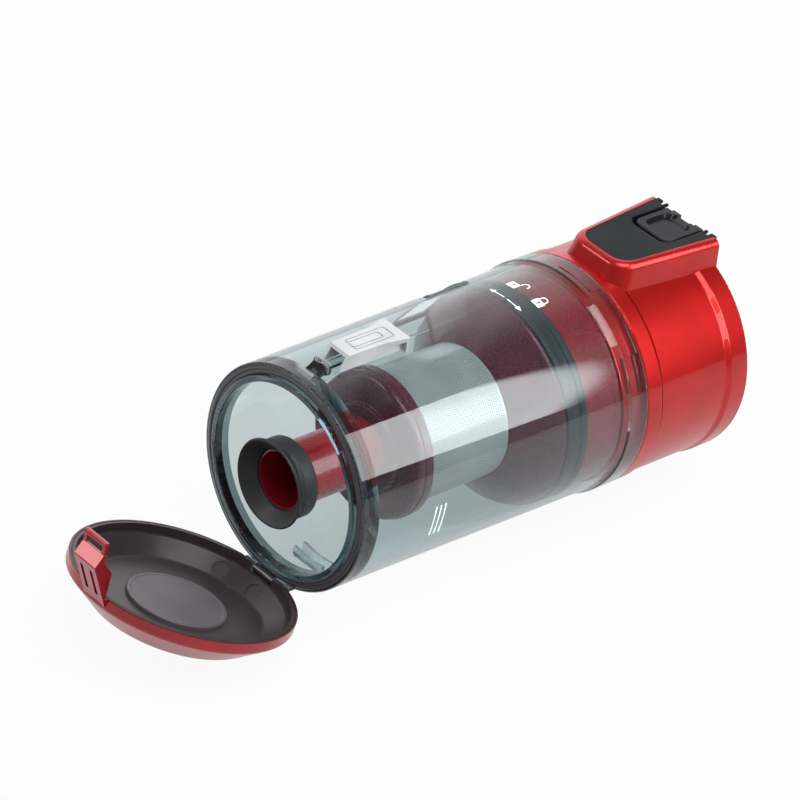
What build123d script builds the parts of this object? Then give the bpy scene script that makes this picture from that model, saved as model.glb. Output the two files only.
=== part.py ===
"""Cyclone dust cup of a cordless vacuum, lying on its side with its lid open.

The cup's axis runs along X. The lid is at -X, the head that plugs into the motor unit at +X.
The thumb latch, its catch and the release button are on top, at +Z.
Stations named k are measured backwards from the front edge of the cup's lip.
"""
import os
from math import cos, pi, radians, sin, sqrt

from build123d import *

# Clearances
run_gap = 0.3           # between pieces that move past each other
pin_gap = 0.05          # radial gap of a pin in a turning knuckle
touch_gap = 0.1         # springs, and seals beyond the running gap
past = 1.0              # cutters and roots reach this far past a surface

# Edge roundings
fine_round = 0.4
edge_round = 0.6
soft_round = 0.8

# Cup
cup_length = 178.5      # lip front to the rear edge of the collar
cup_r = 55.0            # outside radius at the mouth
cup_draft = 1.8         # growth of that radius from the mouth to the collar
cup_wall = 2.2
collar_length = 13.0
collar_step = 1.4       # collar stands this much outside the wall
collar_wall = 2.2
collar_shoulder = 3.5   # length of the slope up to the collar
window_setback = 4.5    # raised field, from the collar's front
window_length = 7.0
window_angle = 4.8
window_width = 22.4
window_height = 0.35
front_edge = 1.8        # outer wall starts this far behind the lip
rim_wall = 1.3          # outer wall beside the seal groove
lip_inset = 5.6         # lip's outside below the cup's outside
lip_wall = 3.2
groove_floor_k = 5.5
groove_floor = 2.5
throat_length = 4.0     # slope from the lip's bore to the cup's wall

# Bayonet between cup and head
lug_count = 3
lug_angle = 18.0
lug_length = 4.0
lug_height = 2.2
tab_length = 3.5
tab_setback = 0.8       # tab from the collar's rear edge
lug_tab_gap = 0.8
lug_first_angle = 60.0  # from the top towards -Y
spigot_gap = 0.7        # spigot inside the tabs
spigot_wall = 2.8

# Head
head_length = 67.2
head_inset = 0.2        # head's bands inside the collar's outline
waist_depth = 1.0
front_band = 9.4
rear_band = 11.0
band_slope = 3.0
step_round = 2.2        # of the rear band's step
head_wall = 2.5
front_wall = 2.5
socket_depth = 11.0     # straight bore that takes the motor unit's spigot
chamber_step = 1.2      # filter chamber's wall inside the socket's
ledge_k_back = 21.0     # rear face to filter ledge
ledge_length = 3.0
ledge_r = 44.0
seam_width = 1.0        # groove behind the front band
seam_depth = 0.5
seam_lean = 0.2
spigot_lead = 4.0       # spigot in front of its lugs

# Boss and release button on the head
boss_height = 8.8       # top of the boss above the head's waist
boss_root = 11.0        # its outline is drawn from this far below the waist
boss_length = 59.4      # top face, front edge to the rear face
boss_slope = 7.2        # run of the sloping front over the whole height
boss_front_half = 17.6  # top face, half widths
boss_rear_half = 24.2
boss_front_spread = 4.0
boss_rear_spread = 1.2
boss_corner_r = 11.0
boss_edge_r = 3.8
panel_thick = 1.5
panel_border = 2.6        # in front and at the front corners
panel_rear_border = 4.0
panel_tail = 1.8        # panel's ears stand behind the rear face
panel_bevel = 0.3
ear_step = 2.4
ear_step_y = 2.6        # step's middle outside the pocket
panel_corner_r = 9.0
pocket_half = 13.0
pocket_length = 26.5
pocket_corner_r = 6.0
pocket_lip = 1.2        # boss left under the panel round the pocket
button_gap = 1.0        # round the button's face
button_front_gap = 2.5
button_travel = 3.0
spring_stack = 1.3      # room left under the pressed button
flange_width = 1.4
flange_thick = 1.2
flange_float = 0.25
button_sink = 0.6       # button's rim below the panel's face
button_corner_r = 5.0
button_round = 0.8
dish_front = 4.2        # rim in front of the thumb dish and beside it
dish_side = 3.4
dish_corner_r = 3.4
dish_depth = 1.9
dish_lean = 35.0        # slope of the dish's walls from upright
gate_half = 4.6         # gap in the rear rim
gate_depth = 1.2
dish_rear = 3.0
spring_pocket_r = 3.0
tail_half = 2.6
tail_y = 7.5
tail_length = 3.0
hollow_half = 12.0
hollow_roof = 3.0
hollow_gap = 4.0        # solid wall between the hollow and the button's pocket
hollow_front = 5.0      # solid in front of the hollow
hollow_round = 3.0

# Cyclone unit, stations k
boot_rear_k = 6.0
boot_mouth_r = 22.0
boot_r = 19.6
boot_wall = 1.6
boot_lip = 1.2
bell_length = 5.5
bell_round = 3.0
tube_front_k = -0.5
tube_rear_k = 60.5
tube_r = 15.2
tube_wall = 1.6
skirt_front_k = 51.5
skirt_rear_k = 60.5
skirt_r = 36.4
skirt_wall = 2.0
skirt_round = 2.6
hub_r = 21.5            # raised hub round the tube
hub_length = 2.2
skirt_rim_length = 4.7
skirt_rim_step = 0.6
mesh_r = 33.0
mesh_thick = 0.6
mesh_rear_k = 111.0
frame_wall = 1.8
frame_windows = 6
frame_window_angle = 44.0
frame_end = 5.0
cone_rear_k = 129.8
cone_wall = 2.0
cone_edge = 1.6
cone_lip = 0.6          # its front edge stands outside the screen
cone_gap = 1.2          # its rear edge inside the seal
cone_round = 2.0
seal_length = 12.8
seal_gap = 0.4
seal_depth = 4.4
sleeve_wall = 2.0
funnel_rear_r = 26.0
funnel_wall = 1.6
funnel_overlap = 6.0
finder_r = 12.6
finder_wall = 1.6
finder_front_k = 92.0
plate_thick = 2.5
plate_hole_r = 5.0
plate_hole_ring = 22.0
plate_hole_count = 8
plate_setback = 1.0
neck_inset = 1.9        # neck ring inside the cup's wall
neck_wall = 3.0
neck_flange_length = 3.0
neck_flange_r = 44.0
pointer_angle = 31.0
pointer_length = 13.0
pointer_half = 3.0
pointer_height = 0.6

# Screws that hold the cyclone unit to the head
screw_count = 3
screw_ring_r = 46.9
screw_r = 1.5
screw_length = 9.0
screw_head_r = 2.8
screw_head_length = 2.0
screw_recess_r = 1.0
screw_boss_r = 2.9
screw_boss_length = 8.0

# Filter in the head's socket
filter_flange_length = 3.0
filter_flange_gap = 0.5
filter_r = 43.4
filter_wall = 2.0
filter_length = 30.0
pleat_count = 16
pleat_thick = 0.8
pleat_inset = 2.0
foam_length = 8.0
foam_r = 47.0
gasket_length = 2.5
gasket_width = 6.0
pull_half = 11.0
pull_thick = 3.0
pull_height = 7.0
pull_slot_half = 7.0
pull_slot_height = 2.6

# Hinge and lid
lid_open = 75.0         # degrees from closed, as it lies
rim_k = 1.5             # lid's rim plane when closed
hinge_k = -0.7
hinge_inset = 1.5       # pin's axis inside the cup's outline
pin_r = 1.0
barrel_r = 2.2
knuckle_half = 6.7      # half length of the lid's middle knuckle
hinge_half = 14.0
web_top = 0.3           # web's upper face below the pin's axis
web_foot = 3.5
lid_inset = 0.5         # lid's rim inside the cup's outline
band_height = 5.5
lid_depth = 18.0
lid_flat_r = 40.0
shell_wall = 1.3
shell_floor = 2.0
shell_rim_drop = 0.4
lid_floor_round = 5.0
band_flare = 0.2
band_round = 2.0
liner_wall = 1.8
liner_step_t = 4.0
liner_step = 1.8
liner_floor_r = 41.5
liner_floor_thick = 1.6
lid_air = 2.6           # between the lining's floor and the dish
pad_r = 24.0
pad_thick = 1.9
mark_angles = (174.9, -158.2)   # two pin marks on the lining, from the clip's side
mark_t = -8.3
mark_r = 4.2
mark_depth = 0.3
notch_gap = 0.4

# Lid clip, heights above the cup's outline
clip_half = 7.3
clip_side = 1.9
clip_foot_height = -1.5
clip_waist_t = 14.0
clip_waist_height = 12.1
clip_pad_t = 17.0
clip_pad_height = 14.2
clip_top_t = 23.7
clip_top_height = 11.0
clip_roof = 1.8
clip_knee_t = 13.5
clip_knee_height = 2.2
clip_heel_t = 19.5
clip_bar_t = 29.8
clip_bar_length = 2.8
clip_bar_height = 2.2
clip_under_gap = 2.2
clip_strap_root = 1.5
slot_half = 1.0
slot_y = 3.3
slot_depth = 1.2
slot_bottom_t = 0.5
slot_top_t = 13.5

# Catch and thumb latch on the cup, heights above the cup's outline
catch_front_k = 9.5
catch_ramp = 6.0
catch_height = 4.3
catch_tip = 0.3         # height of the ramp's front edge
catch_half = 4.4
catch_bar_half = 4.9
catch_bar_length = 2.4
neck_half = 1.9
neck_height = 2.8
latch_front_k = 20.2
latch_length = 40.0
latch_height = 8.0
latch_nose = 5.0        # run of the sloping front
latch_front_half = 6.4
latch_half = 6.9
latch_wing_half = 9.3
latch_wing_length = 1.8 # upright plate at the rear end
latch_flare = 11.0
latch_roof = 2.0        # flared roof over the straight walls
latch_wall = 1.5
latch_travel = 4.0
latch_waist_r = 12.0
latch_groove = 0.8
latch_groove_depth = 0.5
latch_groove_setback = 6.0
latch_grooves = ((4.6, 24.0), (2.6, 19.0))  # half width and length of each
rail_front_k = 36.0
rail_rear_k = 47.5
rail_stem_half = 2.4
rail_head_half = 3.9
rail_head_height = 5.2
rail_head_thick = 1.5

# Springs
wire_r = 0.25
latch_coil_r = 1.55
latch_coil_turns = 8
button_coil_r = 2.3
button_coil_turns = 4

# Air inlet in the cup's far side
inlet_k = 120.4
inlet_angle = 50.0      # from the top towards +Y
inlet_length = 22.0
inlet_width = 36.0
inlet_seal_width = 2.0
inlet_seal_depth = 0.8
inlet_seal_proud = 0.7

# Bracket under the cup's floor, a channel across the axis
bracket_k = 29.3
bracket_half = 10.3
bracket_pitch = 5.8
bracket_rib = 1.4
bracket_skin = 0.3      # wall left over the ribs' roots
bracket_depth = 4.2     # underside below the cup's outline

# Worked out from the sizes above
head_front_k = cup_length + run_gap
body_length = head_front_k + head_length
lip_x = -body_length
collar_k = cup_length - collar_length
window_k = collar_k + window_setback
lip_r = cup_r - lip_inset
mouth_r = lip_r - lip_wall
collar_r = cup_r + cup_draft + collar_step
collar_bore = collar_r - collar_wall
head_r = collar_r - head_inset
waist_r = head_r - waist_depth
socket_r = waist_r - head_wall
chamber_r = socket_r - chamber_step
spigot_r = collar_bore - lug_height - spigot_gap + run_gap
lug_r = collar_bore - run_gap - spigot_gap / 2
tab_rear_k = cup_length - tab_setback
lug_rear_k = tab_rear_k - tab_length - lug_tab_gap
spigot_bore = spigot_r - spigot_wall
boss_top = waist_r + boss_height
ledge_k = body_length - ledge_k_back
flange_k = lug_rear_k - lug_length - spigot_lead
open_k = body_length + 5 * past
hinge_z = -(cup_r - hinge_inset)
lid_r = cup_r - lid_inset
liner_under_t = shell_floor + lid_air - lid_depth
liner_floor_t = liner_under_t + liner_floor_thick
pad_top = liner_floor_t + pad_thick
boot_front_k = pad_top + rim_k + run_gap + touch_gap


def cup_outer(k):
    """Outside radius of the cup's drafted wall."""
    return cup_r + cup_draft * k / collar_k


def cup_inner(k):
    """Inside radius of the cup's drafted wall."""
    return cup_outer(k) - cup_wall


# Planes: along the axis (k, radius), across it, level ones (k, y), and the lid's own
axial = Plane(origin=(lip_x, 0, 0), x_dir=(1, 0, 0), z_dir=(0, -1, 0))
lid_turn = radians(lid_open)
lid_dir = Vector(cos(lid_turn), 0, sin(lid_turn))
lid_up = Vector(-sin(lid_turn), 0, cos(lid_turn))
hinge = Vector(lip_x + hinge_k, 0, hinge_z)
lid_centre = hinge + lid_dir * (rim_k - hinge_k) - lid_up * hinge_z
lid_axial = Plane(origin=lid_centre, x_dir=lid_dir, z_dir=(0, -1, 0))
lid_axis = Axis(lid_centre, lid_dir)
hinge_t = hinge_k - rim_k


def across(k):
    """Plane square to the cup's axis, its local x along +Y and its local y up."""
    return Plane(origin=(lip_x + k, 0, 0), x_dir=(0, 1, 0), z_dir=(1, 0, 0))


def level(z):
    """Level plane at a height, its local x along the stations k."""
    return Plane(origin=(lip_x, 0, z), x_dir=(1, 0, 0), z_dir=(0, 0, 1))


def radial(k, angle):
    """Plane on the axis that faces outwards at an angle from the top towards +Y."""
    outward = (0, sin(radians(angle)), cos(radians(angle)))
    return Plane(origin=(lip_x + k, 0, 0), x_dir=(1, 0, 0), z_dir=outward)


def outline(plane, *corners):
    """Closed outline through corners (u, v) or (u, v, rounding)."""
    points = [corner[:2] for corner in corners]
    rounds = [corner[2] if len(corner) > 2 else 0 for corner in corners]
    with BuildSketch(plane) as shape:
        with BuildLine():
            FilletPolyline(*points, radius=rounds, close=True)
        make_face()
    return shape.sketch


def band(k0, k1, r_in, r_out, plane=axial):
    """Half section of a plain ring."""
    return outline(plane, (k0, r_in), (k1, r_in), (k1, r_out), (k0, r_out))


def sector(k, r_in, r_out, angle, width):
    """Ring sector across the axis, centred at an angle from the top towards -Y."""
    with BuildSketch(across(k)) as shape:
        with BuildLine():
            CenterArc((0, 0), r_out, 90 + angle - width / 2, width)
            CenterArc((0, 0), r_in, 90 + angle - width / 2, width)
            for side in (-1, 1):
                turn = radians(90 + angle + side * width / 2)
                Line((r_in * cos(turn), r_in * sin(turn)), (r_out * cos(turn), r_out * sin(turn)))
        make_face()
    return shape.sketch


def button_plan(z, k_front, k_rear, half, rounding):
    """Outline of the button or of its pocket, rounded in front and open at the rear."""
    return outline(level(z), (k_front, -half, rounding), (k_rear, -half), (k_rear, half),
                   (k_front, half, rounding))


def coil_arcs(start, along, aside, radius, length, turns):
    """Pairs of tangent arcs that follow a helix, a pair for each quarter turn."""
    other = along.cross(aside)
    rise = length / turns / (2 * pi)

    def on_coil(turn):
        spoke = aside * cos(turn) + other * sin(turn)
        return start + spoke * radius + along * (rise * turn)

    def heading(turn):
        spin = aside * -sin(turn) + other * cos(turn)
        return (spin * radius + along * rise).normalized()

    def half(p, control, q):
        foot = (p + q) * 0.5
        reach = (q - p).length / 2
        lift = (control - foot).length
        bend = (sqrt(reach**2 + lift**2) - reach) / lift * reach
        return p, foot + (control - foot).normalized() * bend, q

    arcs = []
    for quarter in range(4 * turns):
        p, q = on_coil(quarter * pi / 2), on_coil((quarter + 1) * pi / 2)
        t, u = heading(quarter * pi / 2), heading((quarter + 1) * pi / 2)
        chord, both = q - p, t + u
        a, b, c = 2 * (t.dot(u) - 1), -2 * chord.dot(both), chord.dot(chord)
        reach = (-b - sqrt(b * b - 4 * a * c)) / (2 * a)
        reach = reach if reach > 0 else (-b + sqrt(b * b - 4 * a * c)) / (2 * a)
        middle = (p + q + (t - u) * reach) * 0.5
        arcs.append(half(p, p + t * reach, middle))
        arcs.append(half(middle, q - u * reach, q))
    return arcs


def coil_gap(arcs):
    """Least gap between neighbouring turns, measured on the arcs' points."""
    points = [arc[1] for arc in arcs]
    return min((p - q).length for i, p in enumerate(points) for q in points[i + 5:]) - 2 * wire_r


os.makedirs("parts", exist_ok=True)
pieces = {}

# Rubber frame round the air inlet, let into the cup's wall
with BuildPart() as inlet_gasket:
    inlet_reach = inlet_length / 2 + inlet_seal_width
    inlet_ends = (inlet_k - inlet_reach - past, inlet_k + inlet_reach + past)
    revolve(outline(axial,
                    *[(k, cup_outer(k) - inlet_seal_depth) for k in inlet_ends],
                    *[(k, cup_outer(k) + inlet_seal_proud) for k in reversed(inlet_ends)]), axis=Axis.X)
    with BuildSketch(radial(inlet_k, inlet_angle)):
        Rectangle(inlet_length + 2 * inlet_seal_width, inlet_width + 2 * inlet_seal_width)
        fillet(vertices(), inlet_seal_width)
        Rectangle(inlet_length, inlet_width, mode=Mode.SUBTRACT)
    extrude(amount=2 * cup_r, mode=Mode.INTERSECT)
pieces["inlet_gasket"] = inlet_gasket

# Clear cup with its lip, seal groove, collar, catch, latch rail, fork and hinge knuckles
with BuildPart() as dust_cup:
    revolve(outline(axial,
                    (0, mouth_r, edge_round),
                    (groove_floor_k + groove_floor, mouth_r),
                    (groove_floor_k + groove_floor + throat_length,
                     cup_inner(groove_floor_k + groove_floor + throat_length)),
                    (collar_k - collar_shoulder / 2, cup_inner(collar_k)),
                    (collar_k + collar_shoulder / 2, collar_bore),
                    (cup_length, collar_bore),
                    (cup_length, collar_r, edge_round),
                    (collar_k + collar_shoulder / 2, collar_r, soft_round),
                    (collar_k - collar_shoulder / 2, cup_outer(collar_k), soft_round),
                    (front_edge, cup_r, soft_round),
                    (front_edge, cup_r - rim_wall),
                    (groove_floor_k, cup_r - rim_wall),
                    (groove_floor_k, lip_r),
                    (0, lip_r, edge_round)), axis=Axis.X)
    # Raised field on the collar and bayonet tabs inside it
    extrude(sector(window_k, collar_r - past, collar_r + window_height, window_angle, window_width),
            amount=window_length)
    for i in range(lug_count):
        extrude(sector(tab_rear_k - tab_length, collar_bore - lug_height, collar_bore + collar_wall / 2,
                       lug_first_angle + 360 / lug_count * i, lug_angle), amount=tab_length)
    # Catch: ramp, crossbar and neck, then the rail that guides the latch
    surface = cup_inner(catch_front_k) + cup_wall / 2
    catch_top = cup_r + catch_height
    catch_bar_k = catch_front_k + catch_ramp
    extrude(outline(axial, (catch_front_k, surface), (catch_bar_k, surface), (catch_bar_k, catch_top),
                    (catch_front_k, cup_r + catch_tip)), amount=catch_half, both=True)
    extrude(outline(axial, (catch_bar_k - catch_bar_length / 2, surface),
                    (catch_bar_k + catch_bar_length / 2, surface),
                    (catch_bar_k + catch_bar_length / 2, catch_top, fine_round),
                    (catch_bar_k - catch_bar_length / 2, catch_top, fine_round)),
            amount=catch_bar_half, both=True)
    extrude(outline(axial, (catch_bar_k, surface), (rail_front_k + past, surface),
                    (rail_front_k + past, cup_r + neck_height), (catch_bar_k, cup_r + neck_height)),
            amount=neck_half, both=True)
    rail_top = cup_r + rail_head_height
    extrude(band(rail_front_k, rail_rear_k, surface, rail_top), amount=rail_stem_half, both=True)
    extrude(band(rail_front_k, rail_rear_k, rail_top - rail_head_thick, rail_top),
            amount=rail_head_half, both=True)
    # Bracket under the floor: two ribs and the plate that joins them
    bracket_root = cup_inner(bracket_k) + bracket_skin
    bracket_foot = cup_outer(bracket_k) + bracket_depth
    bracket_front = bracket_k - (bracket_pitch + bracket_rib) / 2
    bracket_rear = bracket_front + bracket_pitch + bracket_rib
    for rib_k in (bracket_front, bracket_rear - bracket_rib):
        extrude(band(rib_k, rib_k + bracket_rib, -bracket_foot, -bracket_root),
                amount=bracket_half, both=True)
    extrude(band(bracket_front, bracket_rear, -bracket_foot, bracket_rib - bracket_foot),
            amount=bracket_half, both=True)
    # Hinge knuckles under the mouth
    knuckle_length = hinge_half - knuckle_half - run_gap
    for side in (-1, 1):
        knuckle_mid = side * (hinge_half + knuckle_half + run_gap) / 2
        extrude(outline(axial.offset(knuckle_mid), (hinge_k, hinge_z - barrel_r),
                        (groove_floor_k + web_foot, hinge_z - barrel_r, soft_round),
                        (groove_floor_k + web_foot, hinge_z + barrel_r),
                        (groove_floor_k, hinge_z + barrel_r),
                        (groove_floor_k, hinge_z - web_top),
                        (hinge_k, hinge_z - web_top)), amount=knuckle_length / 2, both=True)
        with BuildSketch(axial.offset(knuckle_mid)):
            with Locations((hinge_k, hinge_z)):
                Circle(barrel_r)
        extrude(amount=knuckle_length / 2, both=True)
    with BuildSketch(axial):
        with Locations((hinge_k, hinge_z)):
            Circle(pin_r)
    extrude(amount=hinge_half, both=True, mode=Mode.SUBTRACT)
    # Air inlet and the seat of its rubber frame
    with BuildSketch(radial(inlet_k, inlet_angle)):
        Rectangle(inlet_length, inlet_width)
    extrude(amount=2 * cup_r, mode=Mode.SUBTRACT)
    add(inlet_gasket.part, mode=Mode.SUBTRACT)
pieces["dust_cup"] = dust_cup

# Rubber seal in the groove round the lip
with BuildPart() as lip_seal:
    seal_front = rim_k + run_gap + touch_gap
    revolve(outline(axial, (groove_floor_k, lip_r), (groove_floor_k, cup_r - rim_wall),
                    (seal_front, cup_r - rim_wall, soft_round), (seal_front, lip_r, soft_round)), axis=Axis.X)
pieces["lip_seal"] = lip_seal

# Steel hinge pin, held in the cup's knuckles
with BuildPart() as hinge_pin:
    with BuildSketch(axial):
        with Locations((hinge_k, hinge_z)):
            Circle(pin_r)
    extrude(amount=hinge_half, both=True)
pieces["hinge_pin"] = hinge_pin

# Red outer dish of the lid
shell_slope = (lid_r - lid_flat_r) / (lid_depth - band_height)
with BuildPart() as lid_shell:
    shell_bore = lid_r - shell_wall
    inner_flat_r = shell_bore - (lid_depth - shell_floor - band_height) * shell_slope
    revolve(outline(lid_axial,
                    (-shell_rim_drop, shell_bore),
                    (-band_height, shell_bore),
                    (shell_floor - lid_depth, inner_flat_r),
                    (shell_floor - lid_depth, 0),
                    (-lid_depth, 0),
                    (-lid_depth, lid_flat_r, lid_floor_round),
                    (-band_height, lid_r + band_flare, band_round),
                    (-shell_rim_drop, lid_r)), axis=lid_axis)
    with BuildSketch(lid_axial):
        with Locations((hinge_t, hinge_z)):
            Circle(barrel_r)
    extrude(amount=knuckle_half, both=True)
    notch_depth = hinge_t - barrel_r - notch_gap
    for side in (-1, 1):
        notch_mid = side * (hinge_half + knuckle_half + run_gap) / 2
        extrude(band(notch_depth, 2 * past, hinge_z - 2 * barrel_r, hinge_z + barrel_r + notch_gap,
                     lid_axial.offset(notch_mid)),
                amount=knuckle_length / 2 + run_gap, both=True, mode=Mode.SUBTRACT)
    with BuildSketch(lid_axial):
        with Locations((hinge_t, hinge_z)):
            Circle(pin_r + pin_gap)
    extrude(amount=hinge_half, both=True, mode=Mode.SUBTRACT)
pieces["lid_shell"] = lid_shell

# Dark lining of the dish
with BuildPart() as lid_liner:
    liner_bore = shell_bore - liner_wall
    liner_under_r = shell_bore + (liner_under_t + band_height) * shell_slope
    revolve(outline(lid_axial,
                    (0, liner_bore),
                    (-liner_step_t, liner_bore),
                    (-liner_step_t, liner_bore - liner_step, fine_round),
                    (liner_floor_t, liner_floor_r, band_round),
                    (liner_floor_t, 0),
                    (liner_under_t, 0),
                    (liner_under_t, liner_under_r),
                    (-band_height, shell_bore),
                    (0, shell_bore, soft_round)), axis=lid_axis)
    # One notch for all the knuckles
    extrude(band(notch_depth, 2 * past, hinge_z - 2 * barrel_r, hinge_z + barrel_r + notch_gap, lid_axial),
            amount=hinge_half + run_gap, both=True, mode=Mode.SUBTRACT)
    # Two round marks of the mould's pins, sunk square to the sloping wall
    slope_top = liner_bore - liner_step
    slope_run = (slope_top - liner_floor_r) / (-liner_step_t - liner_floor_t)
    mark_foot = slope_top + (mark_t + liner_step_t) * slope_run
    for angle in mark_angles:
        spoke = lid_up * cos(radians(angle)) - Vector(0, sin(radians(angle)), 0)
        facing = (lid_dir * slope_run - spoke).normalized()
        with BuildSketch(Plane(origin=lid_centre + lid_dir * mark_t + spoke * mark_foot - facing * mark_depth,
                               z_dir=facing)):
            Circle(mark_r)
        extrude(amount=2 * past, mode=Mode.SUBTRACT)
pieces["lid_liner"] = lid_liner

# Soft disc that closes the fine dust tube
with BuildPart() as lid_pad:
    revolve(outline(lid_axial, (liner_floor_t, 0), (pad_top, 0), (pad_top, pad_r, soft_round),
                    (liner_floor_t, pad_r)), axis=lid_axis)
pieces["lid_pad"] = lid_pad

# Springy clip on the lid's rim, with its thumb pad, grip slots and tip bar
clip_lean = (clip_waist_height - clip_foot_height) / (clip_waist_t + band_height)
clip_under = cup_r + latch_height + clip_under_gap
with BuildPart() as lid_clip:
    roof_foot = cup_r + clip_foot_height - clip_roof
    roof_waist = cup_r + clip_waist_height - clip_roof
    roof_top = (clip_top_t - edge_round, cup_r + clip_top_height - clip_roof)
    outer_side = [(-band_height, cup_r + clip_foot_height), (clip_waist_t, cup_r + clip_waist_height),
                  (clip_pad_t, cup_r + clip_pad_height, soft_round),
                  (clip_top_t, cup_r + clip_top_height, fine_round)]
    extrude(outline(lid_axial, *outer_side, roof_top, (clip_waist_t, roof_waist), (-band_height, roof_foot)),
            amount=clip_half, both=True)
    for side in (-1, 1):
        wall = lid_axial.offset(side * (clip_half - clip_side / 2))
        extrude(outline(wall, *outer_side, roof_top, (clip_heel_t, roof_top[1]),
                        (clip_knee_t, cup_r + clip_knee_height),
                        (run_gap, cup_r + 2 * run_gap), (-shell_rim_drop, cup_r + 2 * run_gap),
                        (-shell_rim_drop, lid_r - 2 * shell_wall), (-band_height, lid_r - 2 * shell_wall)),
                amount=clip_side / 2, both=True)
        # Side straps that carry the tip bar
        extrude(outline(wall, (clip_top_t - clip_strap_root, clip_under), (clip_bar_t, clip_under),
                        (clip_bar_t, clip_under + clip_bar_height, soft_round),
                        (clip_top_t - clip_strap_root, cup_r + clip_top_height)),
                amount=clip_side / 2, both=True)
        with BuildSketch(lid_axial.offset(side * slot_y)):
            with BuildLine():
                slot_foot = cup_r + clip_foot_height + (slot_bottom_t + band_height) * clip_lean
                slot_head = cup_r + clip_foot_height + (slot_top_t + band_height) * clip_lean
                Polyline((slot_bottom_t, slot_foot - slot_depth), (slot_top_t, slot_head - slot_depth),
                         (slot_top_t, slot_head + past), (slot_bottom_t, slot_foot + past), close=True)
            make_face()
        extrude(amount=slot_half, both=True, mode=Mode.SUBTRACT)
    extrude(outline(lid_axial, (clip_bar_t - clip_bar_length, clip_under), (clip_bar_t, clip_under),
                    (clip_bar_t, clip_under + clip_bar_height, soft_round),
                    (clip_bar_t - clip_bar_length, clip_under + clip_bar_height, soft_round)),
            amount=clip_half, both=True)
    # The clip's foot takes the round of the lid's band
    revolve(outline(lid_axial, (-lid_depth, 0), (-lid_depth, lid_flat_r, lid_floor_round),
                    (-band_height, lid_r + band_flare, band_round),
                    (-shell_rim_drop, lid_r), (-shell_rim_drop, 0)), axis=lid_axis, mode=Mode.SUBTRACT)
pieces["lid_clip"] = lid_clip

# Silver thumb latch, a hollow slider with flared wings
latch_rear_k = latch_front_k + latch_length
latch_top = cup_r + latch_height
with BuildPart() as latch_button:
    wing_k = latch_rear_k - latch_wing_length
    half_plan = [(latch_front_k, latch_front_half), (wing_k - latch_flare, latch_half, latch_waist_r),
                 (wing_k, latch_wing_half, soft_round), (latch_rear_k, latch_wing_half, soft_round)]
    far_plan = [(corner[0], -corner[1], *corner[2:]) for corner in reversed(half_plan)]
    extrude(outline(level(cup_r - latch_height), *half_plan, *far_plan), amount=2 * latch_height)
    inner_plan = [(latch_front_k - past, latch_front_half - latch_wall),
                  (wing_k - latch_flare, latch_half - latch_wall),
                  (latch_rear_k - latch_wall, latch_half - latch_wall)]
    inner_far = [(corner[0], -corner[1], *corner[2:]) for corner in reversed(inner_plan)]
    extrude(outline(level(cup_r - latch_height), *inner_plan, *inner_far),
            amount=2 * latch_height - latch_wall, mode=Mode.SUBTRACT)
    # Hollows under the flared roof, in front of the end plate
    for side in (-1, 1):
        extrude(band(wing_k - latch_flare - past, wing_k, cup_r - latch_height, latch_top - latch_roof,
                     axial.offset(side * (latch_half + latch_wing_half) / 2)),
                amount=(latch_wing_half - latch_half) / 2, both=True, mode=Mode.SUBTRACT)
    # Sloping nose
    extrude(outline(axial, (latch_front_k - past, cup_r - latch_height),
                    (latch_front_k, cup_r - latch_height),
                    (latch_front_k, cup_r - past), (latch_front_k + latch_nose, latch_top),
                    (latch_front_k + latch_nose, latch_top + past), (latch_front_k - past, latch_top + past)),
            amount=latch_wing_half, both=True, mode=Mode.SUBTRACT)
    # Rear spring seat and the ribs that run under the rail's head
    for side in (-1, 1):
        rib_mid = (rail_stem_half + run_gap + latch_half - latch_wall) / 2 + latch_wall / 4
        rib_half = latch_half - latch_wall / 2 - rib_mid
        extrude(band(rail_front_k - latch_travel, rail_rear_k + latch_travel, cup_r - latch_height,
                     cup_r + rail_head_height - rail_head_thick - run_gap, axial.offset(side * rib_mid)),
                amount=rib_half, both=True)
    # Two nested grooves in the thumb face
    for half, length in latch_grooves:
        with BuildSketch(level(latch_top)):
            with Locations((latch_front_k + latch_nose + latch_groove_setback + length / 2, 0)):
                RectangleRounded(length, 2 * half, latch_groove + soft_round)
                RectangleRounded(length - 2 * latch_groove, 2 * (half - latch_groove), soft_round,
                                 mode=Mode.SUBTRACT)
        extrude(amount=-latch_groove_depth, mode=Mode.SUBTRACT)
    # Open between nose walls and rear posts, and clear of the cup over the whole travel
    clear_k = latch_rear_k + 2 * past
    revolve(outline(axial, (latch_front_k - 2 * latch_travel, 0), (clear_k, 0),
                    (clear_k, cup_outer(clear_k) + run_gap),
                    (latch_front_k - 2 * latch_travel, cup_outer(latch_front_k) + run_gap)),
            axis=Axis.X, mode=Mode.SUBTRACT)
pieces["latch_button"] = latch_button

# Return spring of the thumb latch, between the rail's end and the latch's rear wall
with BuildPart() as latch_spring:
    coil_start = rail_rear_k + wire_r + touch_gap
    coil_run = latch_rear_k - latch_wall - coil_start - wire_r - touch_gap
    coil_z = cup_r + (rail_head_height + rail_head_thick) / 2
    latch_arcs = coil_arcs(Vector(lip_x + coil_start, 0, coil_z), Vector(1, 0, 0), Vector(0, 1, 0),
                           latch_coil_r, coil_run, latch_coil_turns)
    with BuildLine() as latch_wire:
        for arc in latch_arcs:
            ThreePointArc(*arc)
    with BuildSketch(Plane(origin=latch_wire.line @ 0, z_dir=latch_wire.line % 0)):
        Circle(wire_r)
    sweep(path=latch_wire.line)
pieces["latch_spring"] = latch_spring
print("latch spring gap", round(coil_gap(latch_arcs), 2))

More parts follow.
